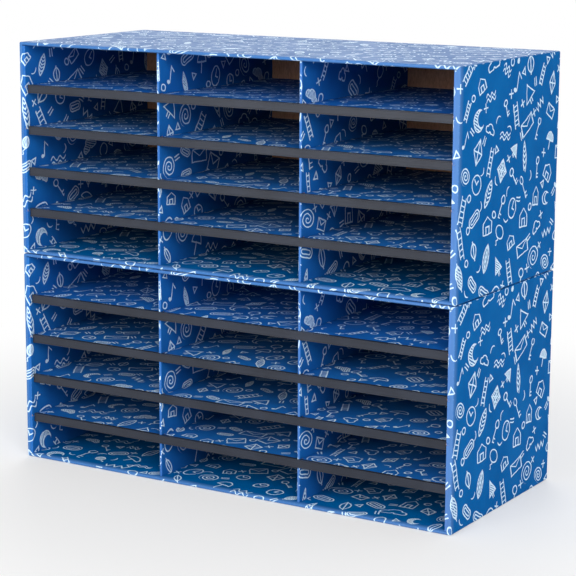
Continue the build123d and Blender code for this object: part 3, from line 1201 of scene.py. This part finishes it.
def stage_camera():
    """The camera, at the photograph's place."""
    stage = bpy.context.scene.sorter_stage
    level = Vector((math.cos(stage.yaw), math.sin(stage.yaw), 0))
    ahead = Vector((-math.sin(stage.yaw), math.cos(stage.yaw), 0))
    forward = ahead * math.cos(stage.pitch) - Vector((0, 0, math.sin(stage.pitch)))
    upright = level.cross(forward)
    right = level * math.cos(stage.roll) + upright * math.sin(stage.roll)
    up = upright * math.cos(stage.roll) - level * math.sin(stage.roll)
    data = bpy.data.cameras.new("camera")
    data.lens = stage.lens
    data.sensor_width = 36
    data.clip_end = 100
    camera = add_object("camera", data)
    turn = Matrix((right, up, -forward)).transposed().to_4x4()
    camera.matrix_world = Matrix.Translation(stage.place) @ turn
    bpy.context.scene.camera = camera


def stage_light(name, place, size, level):
    """A soft square lamp aimed at the sorter; level is what it adds to a white card that faces it."""
    reach = Vector(place) - (cad_low + cad_high) / 2
    data = bpy.data.lights.new(name, "AREA")
    data.shape = "SQUARE"
    data.size = size
    data.energy = level * math.pi ** 2 * reach.length_squared
    lamp = add_object(name, data)
    lamp.matrix_world = Matrix.Translation(place) @ reach.to_track_quat("Z", "Y").to_matrix().to_4x4()


def add_seen(tree):
    """1 for a ray that sees, straight or in a gloss or through glass, and 0 for one that only lights."""
    path = add_node(tree, "ShaderNodeLightPath").outputs
    seen = add_node(tree, "ShaderNodeMath", path["Is Camera Ray"], path["Is Glossy Ray"], operation="ADD")
    return add_node(
        tree, "ShaderNodeMath", seen, path["Is Transmission Ray"], operation="ADD", use_clamp=True
    )


def stage_floor():
    """A plain white sweep: a lit floor that takes the shadow and fades to the white surround."""
    stage = bpy.context.scene.sorter_stage
    # The fade, in metres from the sorter's middle, with the share of the surround that it starts from
    near, far, start = 0.42, 1.15, 0.35
    # The paper's tooth, in metres
    tooth_size = 1 / 60
    material = bpy.data.materials.new("matt_white_studio_sweep")
    tree = bare_tree(material)
    place = add_node(tree, "ShaderNodeTexCoord").outputs["Object"]
    distance = add_node(tree, "ShaderNodeVectorMath", place, operation="LENGTH")
    fade = add_node(
        tree, "ShaderNodeMapRange", distance, near, far, start, 1, interpolation_type="SMOOTHSTEP"
    )
    grain = add_node(tree, "ShaderNodeTexNoise", {"Vector": place, "Scale": 1 / tooth_size})
    rough = add_node(tree, "ShaderNodeMapRange", grain, 0, 1, 0.85, 0.95)
    lit = add_node(tree, "ShaderNodeBsdfPrincipled", {"Base Color": linear(stage.sweep), "Roughness": rough})
    white = add_node(tree, "ShaderNodeEmission", linear(stage.surround), 1.0)
    share = add_node(tree, "ShaderNodeMath", fade, add_seen(tree), operation="MULTIPLY")
    mixed = add_node(tree, "ShaderNodeMixShader", share, lit, white)
    add_node(tree, "ShaderNodeOutputMaterial", mixed)
    bm = bmesh.new()
    bmesh.ops.create_circle(bm, cap_ends=True, segments=96, radius=40)
    floor = add_mesh(bm, "floor", material)


def stage_world():
    """White behind everything seen or mirrored, and an even soft light from all round."""
    world = bpy.data.worlds.new("studio")
    bpy.context.scene.world = world
    tree = bare_tree(world)
    stage = bpy.context.scene.sorter_stage
    strength = add_node(tree, "ShaderNodeMapRange", add_seen(tree), 0, 1, stage.ambient, 1.0)
    shine = add_node(tree, "ShaderNodeBackground", linear(stage.surround), strength)
    add_node(tree, "ShaderNodeOutputWorld", shine)


class SORTER_OT_cases(bpy.types.Operator):
    """Build the two folded cases"""

    bl_idname = "sorter.cases"
    bl_label = "Cases"

    def execute(self, context):
        for unit in UNITS:
            build_case(unit)
        return {"FINISHED"}


class SORTER_OT_back_panels(bpy.types.Operator):
    """Build the back panels"""

    bl_idname = "sorter.back_panels"
    bl_label = "Back panels"

    def execute(self, context):
        for unit in UNITS:
            build_back_panel(unit)
        return {"FINISHED"}


class SORTER_OT_partitions(bpy.types.Operator):
    """Build the side supports and the dividers"""

    bl_idname = "sorter.partitions"
    bl_label = "Supports and dividers"

    def execute(self, context):
        for unit in UNITS:
            for name in PARTITIONS:
                build_partition(unit, name)
        return {"FINISHED"}


class SORTER_OT_shelves(bpy.types.Operator):
    """Build the shelves"""

    bl_idname = "sorter.shelves"
    bl_label = "Shelves"

    def execute(self, context):
        for unit in UNITS:
            for row in range(1, ROWS + 1):
                build_shelf(unit, row)
        return {"FINISHED"}


class SORTER_OT_edge_strips(bpy.types.Operator):
    """Build the plastic strips on the shelves' front edges"""

    bl_idname = "sorter.edge_strips"
    bl_label = "Edge strips"

    def execute(self, context):
        for unit in UNITS:
            for row in range(1, ROWS + 1):
                build_edge_strip(unit, row)
        return {"FINISHED"}


class SORTER_OT_stage(bpy.types.Operator):
    """Set up the camera, the floor and the light"""

    bl_idname = "sorter.stage"
    bl_label = "Stage"

    def execute(self, context):
        context.scene.view_settings.view_transform = "Standard"
        stage_camera()
        stage_floor()
        stage_world()
        for name, (place, size) in LAMPS.items():
            stage_light(name, place, size, getattr(context.scene.sorter_stage, name))
        return {"FINISHED"}


class SORTER_PT_panel(bpy.types.Panel):
    """The sorter's pieces in the 3D view's sidebar"""

    bl_idname = "SORTER_PT_panel"
    bl_label = "Mail Sorter"
    bl_space_type = "VIEW_3D"
    bl_region_type = "UI"
    bl_category = "Mail Sorter"

    def draw(self, context):
        for operator in OPERATORS:
            self.layout.operator(operator.bl_idname)
        for name in SETTINGS:
            settings = getattr(context.scene, name)
            for field in settings.bl_rna.properties:
                if field.identifier not in ("name", "rna_type"):
                    self.layout.prop(settings, field.identifier)


OPERATORS = (
    SORTER_OT_cases,
    SORTER_OT_back_panels,
    SORTER_OT_partitions,
    SORTER_OT_shelves,
    SORTER_OT_edge_strips,
    SORTER_OT_stage,
)
SETTINGS = {
    "sorter_board": BoardSettings,
    "sorter_print": PrintSettings,
    "sorter_strip": StripSettings,
    "sorter_stage": StageSettings,
}


def register():
    for group in SETTINGS.values():
        bpy.utils.register_class(group)
    for name, group in SETTINGS.items():
        setattr(bpy.types.Scene, name, bpy.props.PointerProperty(type=group))
    for operator in OPERATORS:
        bpy.utils.register_class(operator)
    bpy.utils.register_class(SORTER_PT_panel)


def unregister():
    bpy.utils.unregister_class(SORTER_PT_panel)
    for operator in reversed(OPERATORS):
        bpy.utils.unregister_class(operator)
    for name in SETTINGS:
        delattr(bpy.types.Scene, name)
    for group in reversed(SETTINGS.values()):
        bpy.utils.unregister_class(group)


def main():
    register()
    bpy.ops.sorter.cases()
    bpy.ops.sorter.back_panels()
    bpy.ops.sorter.partitions()
    bpy.ops.sorter.shelves()
    bpy.ops.sorter.edge_strips()
    bpy.ops.sorter.stage()


if __name__ == "__main__":
    main()
